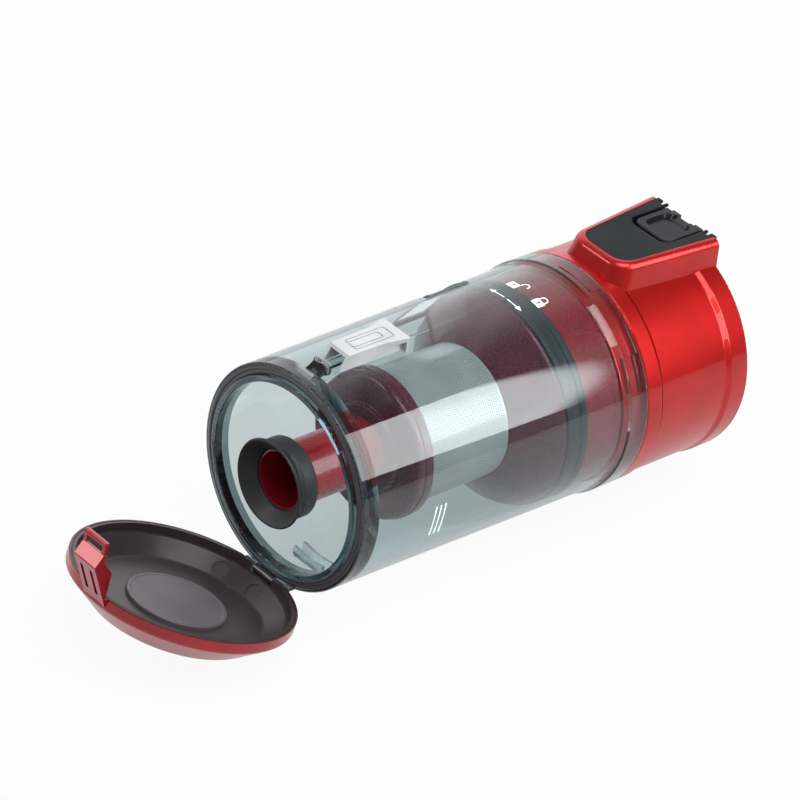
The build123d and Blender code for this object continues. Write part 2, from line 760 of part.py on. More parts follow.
# Red head with bayonet spigot, filter ledge, boss and button pocket
flange_top = boss_top - panel_thick - 2 * run_gap - pocket_lip
pocket_floor = flange_top - flange_thick - button_travel - spring_stack
pocket_k = body_length - pocket_length
boss_k = body_length - boss_length
seam_k = head_front_k + front_band
with BuildPart() as head_housing:
    with BuildSketch(level(waist_r - boss_root)):
        Polygon((boss_k - boss_slope, -boss_front_half - boss_front_spread),
                (body_length, -boss_rear_half - boss_rear_spread),
                (body_length, boss_rear_half + boss_rear_spread),
                (boss_k - boss_slope, boss_front_half + boss_front_spread), align=None)
    with BuildSketch(level(boss_top)):
        Polygon((boss_k, -boss_front_half), (body_length, -boss_rear_half), (body_length, boss_rear_half),
                (boss_k, boss_front_half), align=None)
    loft(ruled=True)
    front_corners = edges().filter_by(Axis.Z, reverse=True).filter_by(
        lambda edge: abs(edge.center().X - lip_x - boss_k) < boss_slope
        and abs(edge.center().Y) > boss_front_half / 2 and abs(edge.tangent_at(0.5).Z) > 0.5)
    fillet(front_corners, boss_corner_r)
    rim_edges = faces().sort_by(Axis.Z)[-1].edges().filter_by(
        lambda edge: edge.center().X < -edge_round)
    fillet(rim_edges, boss_edge_r)
    revolve(band(0, 2 * body_length, 0, waist_r - head_wall / 2), axis=Axis.X, mode=Mode.SUBTRACT)
    revolve(outline(axial,
                    (flange_k, spigot_bore),
                    (head_front_k + front_wall, spigot_bore),
                    (head_front_k + front_wall, socket_r),
                    (ledge_k - ledge_length, socket_r),
                    (ledge_k - ledge_length, ledge_r),
                    (ledge_k, ledge_r),
                    (ledge_k, chamber_r),
                    (body_length - socket_depth, chamber_r),
                    (body_length - socket_depth, socket_r),
                    (body_length, socket_r),
                    (body_length, head_r, edge_round),
                    (body_length - rear_band, head_r, step_round),
                    (body_length - rear_band - band_slope, waist_r, step_round),
                    (seam_k + seam_width + seam_lean, waist_r),
                    (seam_k + seam_width, waist_r - seam_depth),
                    (seam_k + seam_lean, waist_r - seam_depth),
                    (seam_k, head_r, soft_round),
                    (head_front_k, head_r, edge_round),
                    (head_front_k, spigot_r),
                    (flange_k, spigot_r)), axis=Axis.X)
    # Inner flange that carries the cyclone unit
    revolve(band(flange_k, flange_k + neck_flange_length, neck_flange_r, spigot_bore + spigot_wall / 2),
            axis=Axis.X)
    for i in range(lug_count):
        extrude(sector(lug_rear_k - lug_length, spigot_r - spigot_wall / 2, lug_r,
                       lug_first_angle + 360 / lug_count * i, lug_angle), amount=lug_length)
    with BuildSketch(across(flange_k)):
        with PolarLocations(screw_ring_r, screw_count):
            Circle(screw_r + run_gap / 2)
    extrude(amount=neck_flange_length, mode=Mode.SUBTRACT)
    # Hollow under the boss, button pocket with its undercut, and the panel's seat
    hollow_k = (boss_k + hollow_front, pocket_k - hollow_gap)
    extrude(outline(level(waist_r - 2 * head_wall), (hollow_k[0], -hollow_half, hollow_round),
                    (hollow_k[1], -hollow_half, hollow_round), (hollow_k[1], hollow_half, hollow_round),
                    (hollow_k[0], hollow_half, hollow_round)),
            amount=boss_top - hollow_roof - waist_r + 2 * head_wall, mode=Mode.SUBTRACT)
    extrude(button_plan(pocket_floor, pocket_k, open_k, pocket_half, pocket_corner_r),
            amount=2 * boss_height, mode=Mode.SUBTRACT)
    undercut = flange_width + run_gap
    extrude(button_plan(pocket_floor, pocket_k - undercut, open_k, pocket_half + undercut, pocket_corner_r),
            amount=flange_top + flange_float - pocket_floor, mode=Mode.SUBTRACT)
    panel_front_half = boss_front_half - panel_border
    panel_rear_half = boss_rear_half - panel_rear_border
    panel_k = boss_k + panel_border
    panel_plan = [(panel_k, -panel_front_half, panel_corner_r), (body_length + panel_tail, -panel_rear_half),
                  (body_length + panel_tail, panel_rear_half), (panel_k, panel_front_half, panel_corner_r)]
    extrude(outline(level(boss_top - panel_thick), *panel_plan), amount=2 * panel_thick, mode=Mode.SUBTRACT)
pieces["head_housing"] = head_housing

# Black inlay round the button
with BuildPart() as top_panel:
    extrude(outline(level(boss_top - panel_thick), *panel_plan), amount=panel_thick)
    extrude(button_plan(boss_top - panel_thick, pocket_k, open_k, pocket_half, pocket_corner_r),
            amount=panel_thick, mode=Mode.SUBTRACT)
    # Stepped rear ears
    with BuildSketch(level(boss_top - panel_thick)):
        with Locations(*[(body_length + panel_tail, side * (pocket_half + ear_step_y)) for side in (-1, 1)]):
            Rectangle(2 * panel_tail + ear_step, ear_step)
    extrude(amount=panel_thick, mode=Mode.SUBTRACT)
    top_rim = faces().sort_by(Axis.Z)[-1].edges()
    chamfer(top_rim, panel_bevel)
pieces["top_panel"] = top_panel

# Release button: face with a thumb dish, flange, forked tail
with BuildPart() as release_button:
    face_half = pocket_half - button_gap
    face_k = pocket_k + button_front_gap
    button_top = boss_top - button_sink
    flange_bottom = flange_top - flange_thick
    extrude(button_plan(flange_bottom, face_k - flange_width - button_gap, body_length - past,
                        face_half + flange_width + button_gap, pocket_corner_r), amount=flange_thick)
    extrude(button_plan(flange_bottom, face_k, body_length, face_half, button_corner_r),
            amount=button_top - flange_bottom)
    fillet(faces().sort_by(Axis.Z)[-1].edges(), button_round)
    # Thumb dish with sloping walls, and a gap in its rear rim
    dish_half = face_half - dish_side
    extrude(outline(level(button_top), (face_k + dish_front, -dish_half, dish_corner_r),
                    (body_length - dish_rear, -dish_half, dish_corner_r),
                    (body_length - dish_rear, dish_half, dish_corner_r),
                    (face_k + dish_front, dish_half, dish_corner_r)),
            amount=-dish_depth, taper=dish_lean, mode=Mode.SUBTRACT)
    extrude(outline(level(button_top - gate_depth), (body_length - 2 * dish_rear, -gate_half),
                    (open_k, -gate_half), (open_k, gate_half), (body_length - 2 * dish_rear, gate_half)),
            amount=2 * gate_depth, mode=Mode.SUBTRACT)
    with BuildSketch(level(flange_bottom)):
        with Locations(*[(body_length + tail_length / 2, side * tail_y) for side in (-1, 1)]):
            Rectangle(tail_length, 2 * tail_half)
    extrude(amount=flange_thick + past)
    with BuildSketch(level(flange_bottom)):
        with Locations((pocket_k + pocket_length / 2, 0)):
            Circle(spring_pocket_r)
    extrude(amount=flange_thick, mode=Mode.SUBTRACT)
pieces["release_button"] = release_button

# Return spring of the release button
with BuildPart() as button_spring:
    button_start = pocket_floor + wire_r + touch_gap
    button_run = flange_top - button_start - wire_r - touch_gap
    button_arcs = coil_arcs(Vector(lip_x + pocket_k + pocket_length / 2, 0, button_start), Vector(0, 0, 1),
                            Vector(1, 0, 0), button_coil_r, button_run, button_coil_turns)
    with BuildLine() as button_wire:
        for arc in button_arcs:
            ThreePointArc(*arc)
    with BuildSketch(Plane(origin=button_wire.line @ 0, z_dir=button_wire.line % 0)):
        Circle(wire_r)
    sweep(path=button_wire.line)
pieces["button_spring"] = button_spring
print("button spring gap", round(coil_gap(button_arcs), 2))

# Rubber boot with a flared mouth on the fine dust tube
with BuildPart() as tube_boot:
    bell_k = boot_front_k + bell_length
    boot_bore = tube_r - tube_wall + edge_round
    revolve(outline(axial, (boot_rear_k, tube_r), (boot_rear_k, boot_r, soft_round),
                    (bell_k, boot_r, bell_round),
                    (boot_front_k + boot_lip, boot_mouth_r, fine_round),
                    (boot_front_k, boot_mouth_r - boot_lip / 2, fine_round),
                    (tube_front_k - boot_wall, boot_bore, soft_round),
                    (tube_front_k, boot_bore),
                    (tube_front_k, tube_r)), axis=Axis.X)
pieces["tube_boot"] = tube_boot

# Red tube that drops the fine dust
with BuildPart() as fine_dust_tube:
    revolve(band(tube_front_k, tube_rear_k, tube_r - tube_wall, tube_r), axis=Axis.X)
pieces["fine_dust_tube"] = fine_dust_tube

# Red skirt over the front of the screen
with BuildPart() as skirt:
    revolve(outline(axial, (skirt_front_k - hub_length, tube_r), (skirt_front_k - hub_length, hub_r, soft_round),
                    (skirt_front_k, hub_r, soft_round), (skirt_front_k, skirt_r, skirt_round),
                    (skirt_rear_k - skirt_rim_length, skirt_r),
                    (skirt_rear_k - skirt_rim_length, skirt_r + skirt_rim_step, fine_round),
                    (skirt_rear_k, skirt_r + skirt_rim_step, edge_round),
                    (skirt_rear_k, mesh_r - mesh_thick),
                    (skirt_rear_k - skirt_wall, mesh_r - mesh_thick),
                    (skirt_rear_k - skirt_wall, skirt_r - skirt_wall),
                    (skirt_front_k + skirt_wall, skirt_r - skirt_wall, fine_round),
                    (skirt_front_k + skirt_wall, tube_r)), axis=Axis.X)
pieces["skirt"] = skirt

# Perforated steel screen, a rolled sheet
with BuildPart() as mesh_screen:
    revolve(band(skirt_rear_k, mesh_rear_k, mesh_r - mesh_thick, mesh_r), axis=Axis.X)
pieces["mesh_screen"] = mesh_screen

# Windowed frame that backs the screen
frame_r = mesh_r - mesh_thick
with BuildPart() as screen_frame:
    frame_front_k = skirt_front_k + skirt_wall + touch_gap
    revolve(band(frame_front_k, mesh_rear_k, frame_r - frame_wall, frame_r), axis=Axis.X)
    for i in range(frame_windows):
        extrude(sector(skirt_rear_k + frame_end, frame_r - 2 * frame_wall, frame_r + past,
                       360 / frame_windows * i, frame_window_angle),
                amount=mesh_rear_k - skirt_rear_k - 2 * frame_end, mode=Mode.SUBTRACT)
pieces["screen_frame"] = screen_frame

# Red flared shroud behind the screen, with the sleeve that carries the seal
seal_rear_k = cone_rear_k + seal_length
seal_r = cup_inner(cone_rear_k) - seal_gap
sleeve_r = seal_r - seal_depth
cone_r = seal_r - cone_gap
with BuildPart() as shroud_cone:
    revolve(outline(axial, (mesh_rear_k, frame_r - frame_wall), (mesh_rear_k, mesh_r + cone_lip, fine_round),
                    (cone_rear_k - cone_edge, cone_r, cone_round), (cone_rear_k, cone_r, fine_round),
                    (cone_rear_k, sleeve_r),
                    (seal_rear_k, sleeve_r), (seal_rear_k, sleeve_r - sleeve_wall),
                    (cone_rear_k, sleeve_r - sleeve_wall),
                    (mesh_rear_k + cone_wall, frame_r - frame_wall)), axis=Axis.X)
pieces["shroud_cone"] = shroud_cone

# Rubber ring that seals the unit to the cup's wall
with BuildPart() as cyclone_seal:
    revolve(outline(axial, (cone_rear_k, sleeve_r), (cone_rear_k, seal_r, soft_round),
                    (seal_rear_k, seal_r, soft_round), (seal_rear_k, sleeve_r)), axis=Axis.X)
pieces["cyclone_seal"] = cyclone_seal

# Red neck between seal and head, with the pointer that shows locked or open
neck_r = cup_inner(seal_rear_k) - neck_inset
with BuildPart() as neck_ring:
    revolve(outline(axial, (seal_rear_k, sleeve_r - sleeve_wall), (seal_rear_k, neck_r, fine_round),
                    (flange_k, neck_r), (flange_k, neck_flange_r),
                    (flange_k - neck_flange_length, neck_flange_r),
                    (flange_k - neck_flange_length, neck_r - neck_wall),
                    (seal_rear_k + neck_wall, neck_r - neck_wall),
                    (seal_rear_k + neck_wall, sleeve_r - sleeve_wall)), axis=Axis.X)
    with BuildSketch(radial(flange_k - past, -pointer_angle).offset(neck_r - past)):
        Polygon((-pointer_length, 0), (0, -pointer_half), (0, pointer_half), align=None)
    extrude(amount=past + pointer_height)
    with BuildSketch(across(flange_k - screw_boss_length)):
        with PolarLocations(screw_ring_r, screw_count):
            Circle(screw_boss_r)
    extrude(amount=screw_boss_length)
    with BuildSketch(across(flange_k - screw_boss_length)):
        with PolarLocations(screw_ring_r, screw_count):
            Circle(screw_r)
    extrude(amount=screw_boss_length, mode=Mode.SUBTRACT)
pieces["neck_ring"] = neck_ring

# Inner funnel of the cyclone
with BuildPart() as cyclone_funnel:
    funnel_front_k = tube_rear_k - funnel_overlap
    frame_bore = frame_r - frame_wall
    revolve(outline(axial, (funnel_front_k, tube_r), (tube_rear_k, tube_r), (tube_rear_k, tube_r - tube_wall),
                    (mesh_rear_k - 2 * frame_end, funnel_rear_r), (mesh_rear_k, funnel_rear_r),
                    (mesh_rear_k, frame_bore), (mesh_rear_k - funnel_wall, frame_bore),
                    (mesh_rear_k - funnel_wall, funnel_rear_r + funnel_wall),
                    (mesh_rear_k - 2 * frame_end, funnel_rear_r + funnel_wall),
                    (tube_rear_k, tube_r + funnel_wall), (funnel_front_k, tube_r + funnel_wall)), axis=Axis.X)
pieces["cyclone_funnel"] = cyclone_funnel

# Outlet tube on a plate with side openings
with BuildPart() as vortex_finder:
    plate_rear_k = seal_rear_k - plate_setback
    plate_k = plate_rear_k - plate_thick
    revolve(outline(axial, (finder_front_k, finder_r - finder_wall), (plate_rear_k, finder_r - finder_wall),
                    (plate_rear_k, sleeve_r - sleeve_wall), (plate_k, sleeve_r - sleeve_wall),
                    (plate_k, finder_r), (finder_front_k, finder_r)), axis=Axis.X)
    with BuildSketch(across(plate_k)):
        with PolarLocations(plate_hole_ring + plate_hole_r, plate_hole_count):
            Circle(plate_hole_r)
    extrude(amount=plate_thick, mode=Mode.SUBTRACT)
pieces["vortex_finder"] = vortex_finder

# Three screws, heads inside the head's spigot
with BuildPart() as unit_screws:
    flange_rear_k = flange_k + neck_flange_length
    with BuildSketch(across(flange_rear_k - screw_length)):
        with PolarLocations(screw_ring_r, screw_count):
            Circle(screw_r)
    extrude(amount=screw_length)
    with BuildSketch(across(flange_rear_k)):
        with PolarLocations(screw_ring_r, screw_count):
            Circle(screw_head_r)
    extrude(amount=screw_head_length)
    with BuildSketch(across(flange_rear_k + screw_head_length)):
        with PolarLocations(screw_ring_r, screw_count):
            RegularPolygon(screw_recess_r, 6)
    extrude(amount=-screw_head_length / 2, mode=Mode.SUBTRACT)
pieces["unit_screws"] = unit_screws

# Filter cartridge: frame with a pull loop, pleated paper, foam in front
filter_flange_r = chamber_r - filter_flange_gap
filter_front_k = ledge_k - filter_length
with BuildPart() as filter_frame:
    revolve(outline(axial, (filter_front_k, filter_r - filter_wall), (ledge_k, filter_r - filter_wall),
                    (ledge_k + filter_flange_length, filter_r - filter_wall),
                    (ledge_k + filter_flange_length, filter_flange_r, edge_round),
                    (ledge_k, filter_flange_r), (ledge_k, filter_r), (filter_front_k, filter_r)), axis=Axis.X)
    # Bar across the frame with its pull loop
    extrude(band(ledge_k, ledge_k + filter_flange_length, -pull_thick / 2, pull_thick / 2),
            amount=filter_r - filter_wall / 2, both=True)
    loop_k = ledge_k + filter_flange_length
    with BuildSketch(level(0)):
        with Locations((loop_k + (pull_height - past) / 2, 0)):
            Rectangle(pull_height + past, 2 * pull_half)
        with Locations((loop_k + pull_height / 2, 0)):
            Rectangle(pull_slot_height, 2 * pull_slot_half, mode=Mode.SUBTRACT)
    extrude(amount=pull_thick / 2, both=True)
pieces["filter_frame"] = filter_frame

with BuildPart() as filter_media:
    pleat_r = filter_r - filter_wall
    pleat_pitch = 2 * pleat_r / pleat_count
    front, back = filter_front_k + pleat_inset, ledge_k - pleat_inset
    zig = [(front if i % 2 else back - pleat_thick, -pleat_r - pleat_pitch / 2 + pleat_pitch / 2 * i)
           for i in range(2 * pleat_count + 3)]
    zag = [(k + pleat_thick, y) for k, y in reversed(zig)]
    with BuildSketch(level(0)):
        with BuildLine():
            Polyline(*zig, *zag, close=True)
        make_face()
    extrude(amount=pleat_r, both=True)
    revolve(band(filter_front_k, ledge_k, 0, pleat_r), axis=Axis.X, mode=Mode.INTERSECT)
pieces["filter_media"] = filter_media

with BuildPart() as filter_foam:
    revolve(outline(axial, (filter_front_k - foam_length, 0), (filter_front_k, 0),
                    (filter_front_k, foam_r, soft_round),
                    (filter_front_k - foam_length, foam_r, soft_round)), axis=Axis.X)
pieces["filter_foam"] = filter_foam

# Gasket that the motor unit presses on
with BuildPart() as socket_gasket:
    gasket_k = ledge_k + filter_flange_length
    revolve(outline(axial, (gasket_k, filter_flange_r - gasket_width), (gasket_k, filter_flange_r),
                    (gasket_k + gasket_length, filter_flange_r, soft_round),
                    (gasket_k + gasket_length, filter_flange_r - gasket_width, soft_round)), axis=Axis.X)
pieces["socket_gasket"] = socket_gasket

for name, piece in pieces.items():
    piece.part.label = name
    export_step(piece.part, f"parts/{name}.step")
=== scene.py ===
"""Looks of a vacuum's dust cup: materials, moulded soft pieces, printed marks and a studio round them."""
from math import atan2, cos, pi, radians, sin, sqrt

import bmesh
import bpy
from mathutils import Matrix, Vector


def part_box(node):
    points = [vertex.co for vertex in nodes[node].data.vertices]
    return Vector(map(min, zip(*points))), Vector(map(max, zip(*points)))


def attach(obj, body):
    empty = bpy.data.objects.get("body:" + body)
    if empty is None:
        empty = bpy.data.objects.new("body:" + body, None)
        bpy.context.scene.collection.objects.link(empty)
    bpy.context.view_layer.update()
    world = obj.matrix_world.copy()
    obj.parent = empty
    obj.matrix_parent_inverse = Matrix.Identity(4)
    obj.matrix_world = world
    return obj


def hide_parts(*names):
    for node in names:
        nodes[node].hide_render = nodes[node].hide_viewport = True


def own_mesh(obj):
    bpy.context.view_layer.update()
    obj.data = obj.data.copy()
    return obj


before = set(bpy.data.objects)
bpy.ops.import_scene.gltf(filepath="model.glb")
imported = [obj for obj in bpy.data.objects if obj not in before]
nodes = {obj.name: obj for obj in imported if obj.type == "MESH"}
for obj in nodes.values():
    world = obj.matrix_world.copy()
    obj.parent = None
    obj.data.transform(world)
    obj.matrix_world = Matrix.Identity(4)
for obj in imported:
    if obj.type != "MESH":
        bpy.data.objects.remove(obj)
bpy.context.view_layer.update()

MM = 0.001

# Places shared with the frame, in millimetres. Stations k run back from the front edge of the cup's lip.
lip_x = -246.0
lip_depth = 8.0
cup_r = 55.0
cup_draft = 1.8 / 165.5     # growth of the cup's radius per millimetre
hinge_x, hinge_z = -246.7, -53.5
lid_open = radians(75.0)    # how far the lid is open at rest
lid_axes = Matrix.Rotation(-lid_open, 4, "Y")
axis_bore = 0.02            # radius of the hole left on the axis of a turned disc


def cup_surface(k):
    """Outside radius of the cup at a station."""
    return cup_r + cup_draft * k


# Mesh helpers

def piece(name, mesh, body, material, stands_for=(), crease=35.0):
    """Object of a mesh that rides on a body, its material and the CAD nodes it stands for."""
    thing = bpy.data.objects.new(name, mesh)
    bpy.context.scene.collection.objects.link(thing)
    mesh.materials.append(material)
    for polygon in mesh.polygons:
        polygon.use_smooth = True
    mesh.set_sharp_from_angle(angle=radians(crease))
    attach(thing, body)
    if stands_for:
        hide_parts(*stands_for)
    return thing


def mesh_from(name, points, faces, weld=0.0):
    """Mesh of points in millimetres, with its normals turned outwards and near points welded if asked."""
    mesh = bpy.data.meshes.new(name)
    mesh.from_pydata([Vector(p) * MM for p in points], [], faces)
    work = bmesh.new()
    work.from_mesh(mesh)
    if weld:
        bmesh.ops.remove_doubles(work, verts=work.verts, dist=weld * MM)
    bmesh.ops.recalc_face_normals(work, faces=work.faces)
    work.to_mesh(mesh)
    work.free()
    return mesh


def rounded(corners, steps=5):
    """Closed outline through corners (u, v, rounding), each rounding an arc of that radius."""
    outline = []
    count = len(corners)
    for i, (u, v, radius) in enumerate(corners):
        here = Vector((u, v))
        if radius == 0:
            outline.append(here)
            continue
        back = (Vector(corners[i - 1][:2]) - here).normalized()
        ahead = (Vector(corners[(i + 1) % count][:2]) - here).normalized()
        half = back.angle(ahead) / 2
        middle = here + (back + ahead).normalized() * (radius / sin(half))
        reach = radius * cos(half) / sin(half)
        first = here + back * reach - middle
        last = here + ahead * reach - middle
        turn = atan2(first.x * last.y - first.y * last.x, first.dot(last))
        for step in range(steps + 1):
            angle = turn * step / steps
            outline.append(middle + Vector((first.x * cos(angle) - first.y * sin(angle),
                                            first.x * sin(angle) + first.y * cos(angle))))
    return outline


def row_quads(rows, count, steps):
    """Quads between rows of points, each a closed ring; if steps equals rows, the last meets the first."""
    faces = []
    for i in range(steps):
        here, ahead = i * count, (i + 1) % rows * count
        for j in range(count):
            other = (j + 1) % count
            faces.append((here + j, here + other, ahead + other, ahead + j))
    return faces


def lathe(name, outline, place=Matrix.Identity(4), steps=180, reach=2 * pi):
    """Closed outline (station, radius) turned round the local x axis, all round or by an angle about z."""
    points = []
    count = len(outline)
    whole = reach == 2 * pi
    rows = steps if whole else steps + 1
    for i in range(rows):
        turn = reach * (i / steps - 0.5)
        points += [place @ Vector((u, v * sin(turn), v * cos(turn))) for u, v in outline]
    faces = row_quads(rows, count, steps)
    if not whole:
        faces += [tuple(range(count)), tuple(range(steps * count, rows * count))]
    return mesh_from(name, points, faces)


def tube(name, path, radius, sides=12):
    """Round wire along a path of points, with closed ends."""
    points = []
    for i, p in enumerate(path):
        ahead = (path[min(i + 1, len(path) - 1)] - path[max(i - 1, 0)]).normalized()
        aside = ahead.orthogonal() if i == 0 else aside - ahead * aside.dot(ahead)
        aside.normalize()
        other = ahead.cross(aside)
        for j in range(sides):
            turn = 2 * pi * j / sides
            points.append(p + (aside * cos(turn) + other * sin(turn)) * radius)
    faces = row_quads(len(path), sides, len(path) - 1)
    faces += [tuple(range(sides)), tuple(range(len(points) - sides, len(points)))]
    return mesh_from(name, points, faces)


def turned(name, outline, body, slot, material, node, place=Matrix.Identity(4)):
    """Piece turned from an outline, which stands for a CAD node."""
    return piece(name, lathe(name, outline, place), body, material, [node])


# Shader helpers

def feed(tree, socket, value):
    """Links an output to a socket, or sets the socket to a constant."""
    if isinstance(value, bpy.types.NodeSocket):
        tree.links.new(value, socket)
    else:
        socket.default_value = value


def calculate(tree, operation, first, second):
    """Number worked out from two numbers or outputs."""
    step = tree.nodes.new("ShaderNodeMath")
    step.operation = operation
    feed(tree, step.inputs[0], first)
    feed(tree, step.inputs[1], second)
    return step.outputs["Value"]


def calculate_vector(tree, operation, first, second=(0, 0, 0), result="Vector"):
    """Vector, or product, worked out from two vectors."""
    step = tree.nodes.new("ShaderNodeVectorMath")
    step.operation = operation
    feed(tree, step.inputs[0], first)
    feed(tree, step.inputs[1], second)
    return step.outputs[result]


def stretch(tree, value, start, end, low, high, kind="LINEAR"):
    """Number carried over from the range start to end to the range low to high."""
    ramp = tree.nodes.new("ShaderNodeMapRange")
    ramp.interpolation_type = kind
    feed(tree, ramp.inputs["Value"], value)
    for socket, number in (("From Min", start), ("From Max", end), ("To Min", low), ("To Max", high)):
        ramp.inputs[socket].default_value = number
    return ramp.outputs["Result"]


def mix_values(tree, factor, first, second, kind="RGBA"):
    """Colour or number between two."""
    mix = tree.nodes.new("ShaderNodeMix")
    mix.data_type = kind
    feed(tree, mix.inputs["Factor"], factor)
    feed(tree, mix.inputs["A"], first)
    feed(tree, mix.inputs["B"], second)
    return mix.outputs["Result"]


def mix_shaders(tree, factor, first, second):
    """Shader that turns from the first into the second as the factor goes from 0 to 1."""
    mix = tree.nodes.new("ShaderNodeMixShader")
    tree.links.new(factor, mix.inputs["Fac"])
    tree.links.new(first, mix.inputs[1])
    tree.links.new(second, mix.inputs[2])
    return mix.outputs["Shader"]


def new_material(name):
    """Material with its node tree and Principled shader."""
    material = bpy.data.materials.new(name)
    material.use_nodes = True
    tree = material.node_tree
    return material, tree, tree.nodes["Principled BSDF"]


def frame_place(tree):
    """Place on the surface in the frame's own coordinates, in metres."""
    return tree.nodes.new("ShaderNodeTexCoord").outputs["Object"]


def noise_of(tree, scale):
    """Noise whose scale counts features per metre."""
    noise = tree.nodes.new("ShaderNodeTexNoise")
    noise.inputs["Scale"].default_value = scale
    noise.inputs["Detail"].default_value = 3.0
    tree.links.new(frame_place(tree), noise.inputs["Vector"])
    return noise.outputs["Fac"]


def spread(tree, noise, low, high):
    """Noise stretched to a range, from the shares between which most of it lies."""
    common_low, common_high = 0.35, 0.65
    return stretch(tree, noise, common_low, common_high, low, high)


def patchy(tree, scale, dark, light):
    """Colour that changes between two in slow patches."""
    return mix_values(tree, spread(tree, noise_of(tree, scale), 0.0, 1.0), (*dark, 1), (*light, 1))


# Materials

def moulded(name, dark, light, roughness, grain=1200.0, bump=0.05, **settings):
    """Moulded surface: slow patches of colour, fine grain in its gloss and relief."""
    patch_scale, relief_depth = 60.0, 0.1
    material, tree, shader = new_material(name)
    feed(tree, shader.inputs["Base Color"], patchy(tree, patch_scale, dark, light))
    fine = noise_of(tree, grain)
    feed(tree, shader.inputs["Roughness"], spread(tree, fine, *roughness))
    relief = tree.nodes.new("ShaderNodeBump")
    relief.inputs["Strength"].default_value = bump
    relief.inputs["Distance"].default_value = relief_depth * MM
    tree.links.new(fine, relief.inputs["Height"])
    tree.links.new(relief.outputs["Normal"], shader.inputs["Normal"])
    for socket, value in settings.items():
        shader.inputs[socket.replace("_", " ")].default_value = value
    return material


def clear_plastic(name, dark, light, absorbed, density):
    """Smoked clear plastic: it darkens with its thickness, and lets the lamps reach what it holds."""
    patch_scale, grain, roughest = 18.0, 260.0, 0.03
    lamp_share = 0.84           # share of a lamp's light that passes each surface
    material, tree, shader = new_material(name)
    feed(tree, shader.inputs["Base Color"], patchy(tree, patch_scale, dark, light))
    feed(tree, shader.inputs["Roughness"], spread(tree, noise_of(tree, grain), 0.0, roughest))
    shader.inputs["Transmission Weight"].default_value = 1.0
    shader.inputs["IOR"].default_value = 1.49
    passing = tree.nodes.new("ShaderNodeBsdfTransparent")
    passing.inputs["Color"].default_value = (lamp_share, lamp_share, lamp_share, 1)
    to_lamp = tree.nodes.new("ShaderNodeLightPath").outputs["Is Shadow Ray"]
    surface = mix_shaders(tree, to_lamp, shader.outputs["BSDF"], passing.outputs["BSDF"])
    smoke_inside = tree.nodes.new("ShaderNodeVolumeAbsorption")
    smoke_inside.inputs["Color"].default_value = (*absorbed, 1)
    smoke_inside.inputs["Density"].default_value = density
    output = tree.nodes["Material Output"]
    tree.links.new(surface, output.inputs["Surface"])
    tree.links.new(smoke_inside.outputs["Volume"], output.inputs["Volume"])
    return material


def two_tone(name, source, middle, reach, other):
    """Copy of a material that takes another colour in a box round a point, sizes in millimetres."""
    material = source.copy()
    material.name = name
    tree = material.node_tree
    base = tree.nodes["Principled BSDF"].inputs["Base Color"]
    shifted = calculate_vector(tree, "SUBTRACT", frame_place(tree), Vector(middle) * MM)
    scaled = calculate_vector(tree, "DIVIDE", shifted, Vector(reach) * MM)
    split = tree.nodes.new("ShaderNodeSeparateXYZ")
    tree.links.new(calculate_vector(tree, "ABSOLUTE", scaled), split.inputs["Vector"])
    largest = calculate(tree, "MAXIMUM", split.outputs["X"], split.outputs["Y"])
    largest = calculate(tree, "MAXIMUM", largest, split.outputs["Z"])
    inside = calculate(tree, "LESS_THAN", largest, 1.0)
    feed(tree, base, mix_values(tree, inside, base.links[0].from_socket, (*other, 1)))
    return material


smoke = clear_plastic("smoke_clear", (0.89, 0.965, 0.98), (0.92, 0.98, 0.99), absorbed=(0.21, 0.35, 0.385),
                      density=155.0)
red_gloss = moulded("red_gloss", (0.40, 0.003, 0.002), (0.47, 0.004, 0.003), (0.36, 0.46), grain=2600.0,
                    bump=0.02, Metallic=0.7, Coat_Weight=0.5, Coat_Roughness=0.03)
# The head's red paint made darker and more crimson: painted shade on the lid.
lid_red_shaded = moulded("lid_red_shaded", (0.31, 0.003, 0.008), (0.37, 0.004, 0.011), (0.34, 0.44), grain=2600.0,
                    bump=0.02, Metallic=0.6, Coat_Weight=0.7, Coat_Roughness=0.03)
red_satin = moulded("red_satin", (0.21, 0.005, 0.012), (0.26, 0.008, 0.015), (0.20, 0.30), bump=0.015,
                    Coat_Weight=0.4, Coat_Roughness=0.1)
# Darker, bluer copy of red_satin: painted shade, with a painted purple tint from the cup's reflections, on
# pieces seen behind its walls.
shaded_red_satin = moulded("shaded_red_satin", (0.080, 0.005, 0.018), (0.10, 0.007, 0.022), (0.20, 0.30), bump=0.015,
                   Coat_Weight=0.3, Coat_Roughness=0.1)
brown_plastic = moulded("brown_plastic", (0.036, 0.026, 0.029), (0.044, 0.032, 0.035), (0.28, 0.36),
                        bump=0.02, Specular_IOR_Level=0.3)
grey_disc = moulded("grey_disc", (0.080, 0.070, 0.080), (0.096, 0.085, 0.096), (0.40, 0.50), bump=0.04)
slate_plastic = moulded("slate_plastic", (0.005, 0.006, 0.008), (0.009, 0.010, 0.012), (0.34, 0.42),
                        Specular_IOR_Level=0.10)
black_gloss = moulded("black_gloss", (0.008, 0.008, 0.010), (0.013, 0.013, 0.016), (0.16, 0.22), bump=0.02,
                      Specular_IOR_Level=0.15)
black_rubber = moulded("black_rubber", (0.012, 0.014, 0.015), (0.022, 0.024, 0.025), (0.42, 0.56), bump=0.10)
charcoal_rubber = moulded("charcoal_rubber", (0.055, 0.052, 0.060), (0.072, 0.068, 0.077), (0.38, 0.52),
                          bump=0.08)
seal_rubber = moulded("seal_rubber", (0.010, 0.017, 0.020), (0.016, 0.025, 0.028), (0.40, 0.55), bump=0.08)
grey_rubber = moulded("grey_rubber", (0.090, 0.115, 0.120), (0.120, 0.145, 0.150), (0.40, 0.55), bump=0.06)
grey_plastic = moulded("grey_plastic", (0.10, 0.105, 0.115), (0.13, 0.136, 0.147), (0.38, 0.50))
silver = moulded("silver", (0.48, 0.49, 0.51), (0.56, 0.57, 0.59), (0.30, 0.42), grain=3000.0, bump=0.03,
                 Metallic=0.25, Coat_Weight=0.3, Coat_Roughness=0.15)
